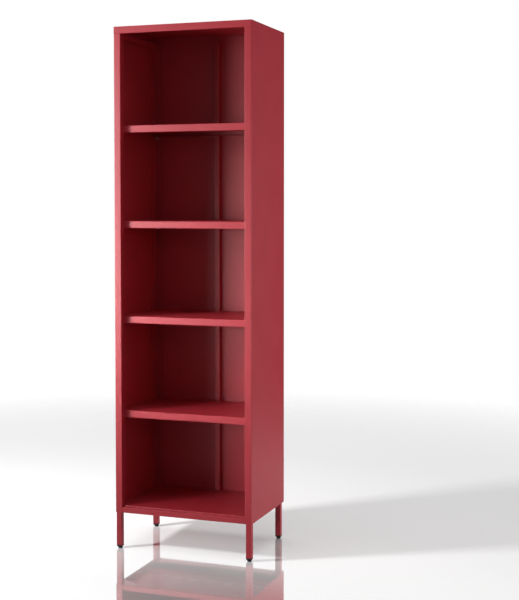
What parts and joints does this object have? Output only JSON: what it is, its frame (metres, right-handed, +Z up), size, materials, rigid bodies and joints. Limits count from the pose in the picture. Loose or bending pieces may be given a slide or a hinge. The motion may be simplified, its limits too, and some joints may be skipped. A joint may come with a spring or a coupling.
{
  "type": "open steel bookcase",
  "caption": "Tall narrow open bookcase of folded, powder-coated steel on square legs, with lift-out shelves on hooked clips and levelling feet.",
  "frame": {"origin": "centre of the footprint, on the floor", "axes": "+Z up, +X to the right of a person facing the open front, -Y out of the open front"},
  "size_m": [0.515, 0.35, 1.85],
  "materials": {
    "red_powder_coat": "satin, fine-textured powder coat on steel sheet",
    "zinc_plated_steel": "bright zinc plating",
    "black_nylon": "moulded nylon"
  },
  "bodies": {
    "case": {"side_panel_left": "red_powder_coat", "side_panel_right": "red_powder_coat", "top_panel": "red_powder_coat", "top_cleat_left": "red_powder_coat", "top_cleat_right": "red_powder_coat", "bottom_panel": "red_powder_coat", "back_panel_left": "red_powder_coat", "back_panel_right": "red_powder_coat", "back_centre_post": "red_powder_coat", "upright_front_left": "red_powder_coat", "upright_front_right": "red_powder_coat", "upright_rear_left": "red_powder_coat", "upright_rear_right": "red_powder_coat", "shelf_1_clips": "zinc_plated_steel", "shelf_2_clips": "zinc_plated_steel", "shelf_3_clips": "zinc_plated_steel", "shelf_4_clips": "zinc_plated_steel", "leg_front_left": "red_powder_coat", "leg_plate_front_left": "red_powder_coat", "leg_insert_front_left": "black_nylon", "leg_front_right": "red_powder_coat", "leg_plate_front_right": "red_powder_coat", "leg_insert_front_right": "black_nylon", "leg_rear_left": "red_powder_coat", "leg_plate_rear_left": "red_powder_coat", "leg_insert_rear_left": "black_nylon", "leg_rear_right": "red_powder_coat", "leg_plate_rear_right": "red_powder_coat", "leg_insert_rear_right": "black_nylon", "leg_bolts": "zinc_plated_steel", "leg_washers": "zinc_plated_steel", "top_screws": "zinc_plated_steel", "back_rivets": "red_powder_coat"},
    "shelf_1_unit": {"shelf_1": "red_powder_coat", "shelf_1_stiffener": "red_powder_coat"},
    "shelf_2_unit": {"shelf_2": "red_powder_coat", "shelf_2_stiffener": "red_powder_coat"},
    "shelf_3_unit": {"shelf_3": "red_powder_coat", "shelf_3_stiffener": "red_powder_coat"},
    "shelf_4_unit": {"shelf_4": "red_powder_coat", "shelf_4_stiffener": "red_powder_coat"},
    "levelling_foot_front_left": {"foot_front_left": "black_nylon", "foot_stud_front_left": "zinc_plated_steel"},
    "levelling_foot_front_right": {"foot_front_right": "black_nylon", "foot_stud_front_right": "zinc_plated_steel"},
    "levelling_foot_rear_left": {"foot_rear_left": "black_nylon", "foot_stud_rear_left": "zinc_plated_steel"},
    "levelling_foot_rear_right": {"foot_rear_right": "black_nylon", "foot_stud_rear_right": "zinc_plated_steel"}
  },
  "joints": [
    {"name": "shelf_1_lift", "type": "slide", "parent": "case", "child": "shelf_1_unit", "axis": [0, 0, 1], "range_m": [0, 0.25]},
    {"name": "shelf_2_lift", "type": "slide", "parent": "case", "child": "shelf_2_unit", "axis": [0, 0, 1], "range_m": [0, 0.25]},
    {"name": "shelf_3_lift", "type": "slide", "parent": "case", "child": "shelf_3_unit", "axis": [0, 0, 1], "range_m": [0, 0.25]},
    {"name": "shelf_4_lift", "type": "slide", "parent": "case", "child": "shelf_4_unit", "axis": [0, 0, 1], "range_m": [0, 0.25]},
    {"name": "foot_front_left_height", "type": "slide", "parent": "case", "child": "levelling_foot_front_left", "axis": [0, 0, -1], "range_m": [0, 0.01]},
    {"name": "foot_front_right_height", "type": "slide", "parent": "case", "child": "levelling_foot_front_right", "axis": [0, 0, -1], "range_m": [0, 0.01]},
    {"name": "foot_rear_left_height", "type": "slide", "parent": "case", "child": "levelling_foot_rear_left", "axis": [0, 0, -1], "range_m": [0, 0.01]},
    {"name": "foot_rear_right_height", "type": "slide", "parent": "case", "child": "levelling_foot_rear_right", "axis": [0, 0, -1], "range_m": [0, 0.01]}
  ]
}
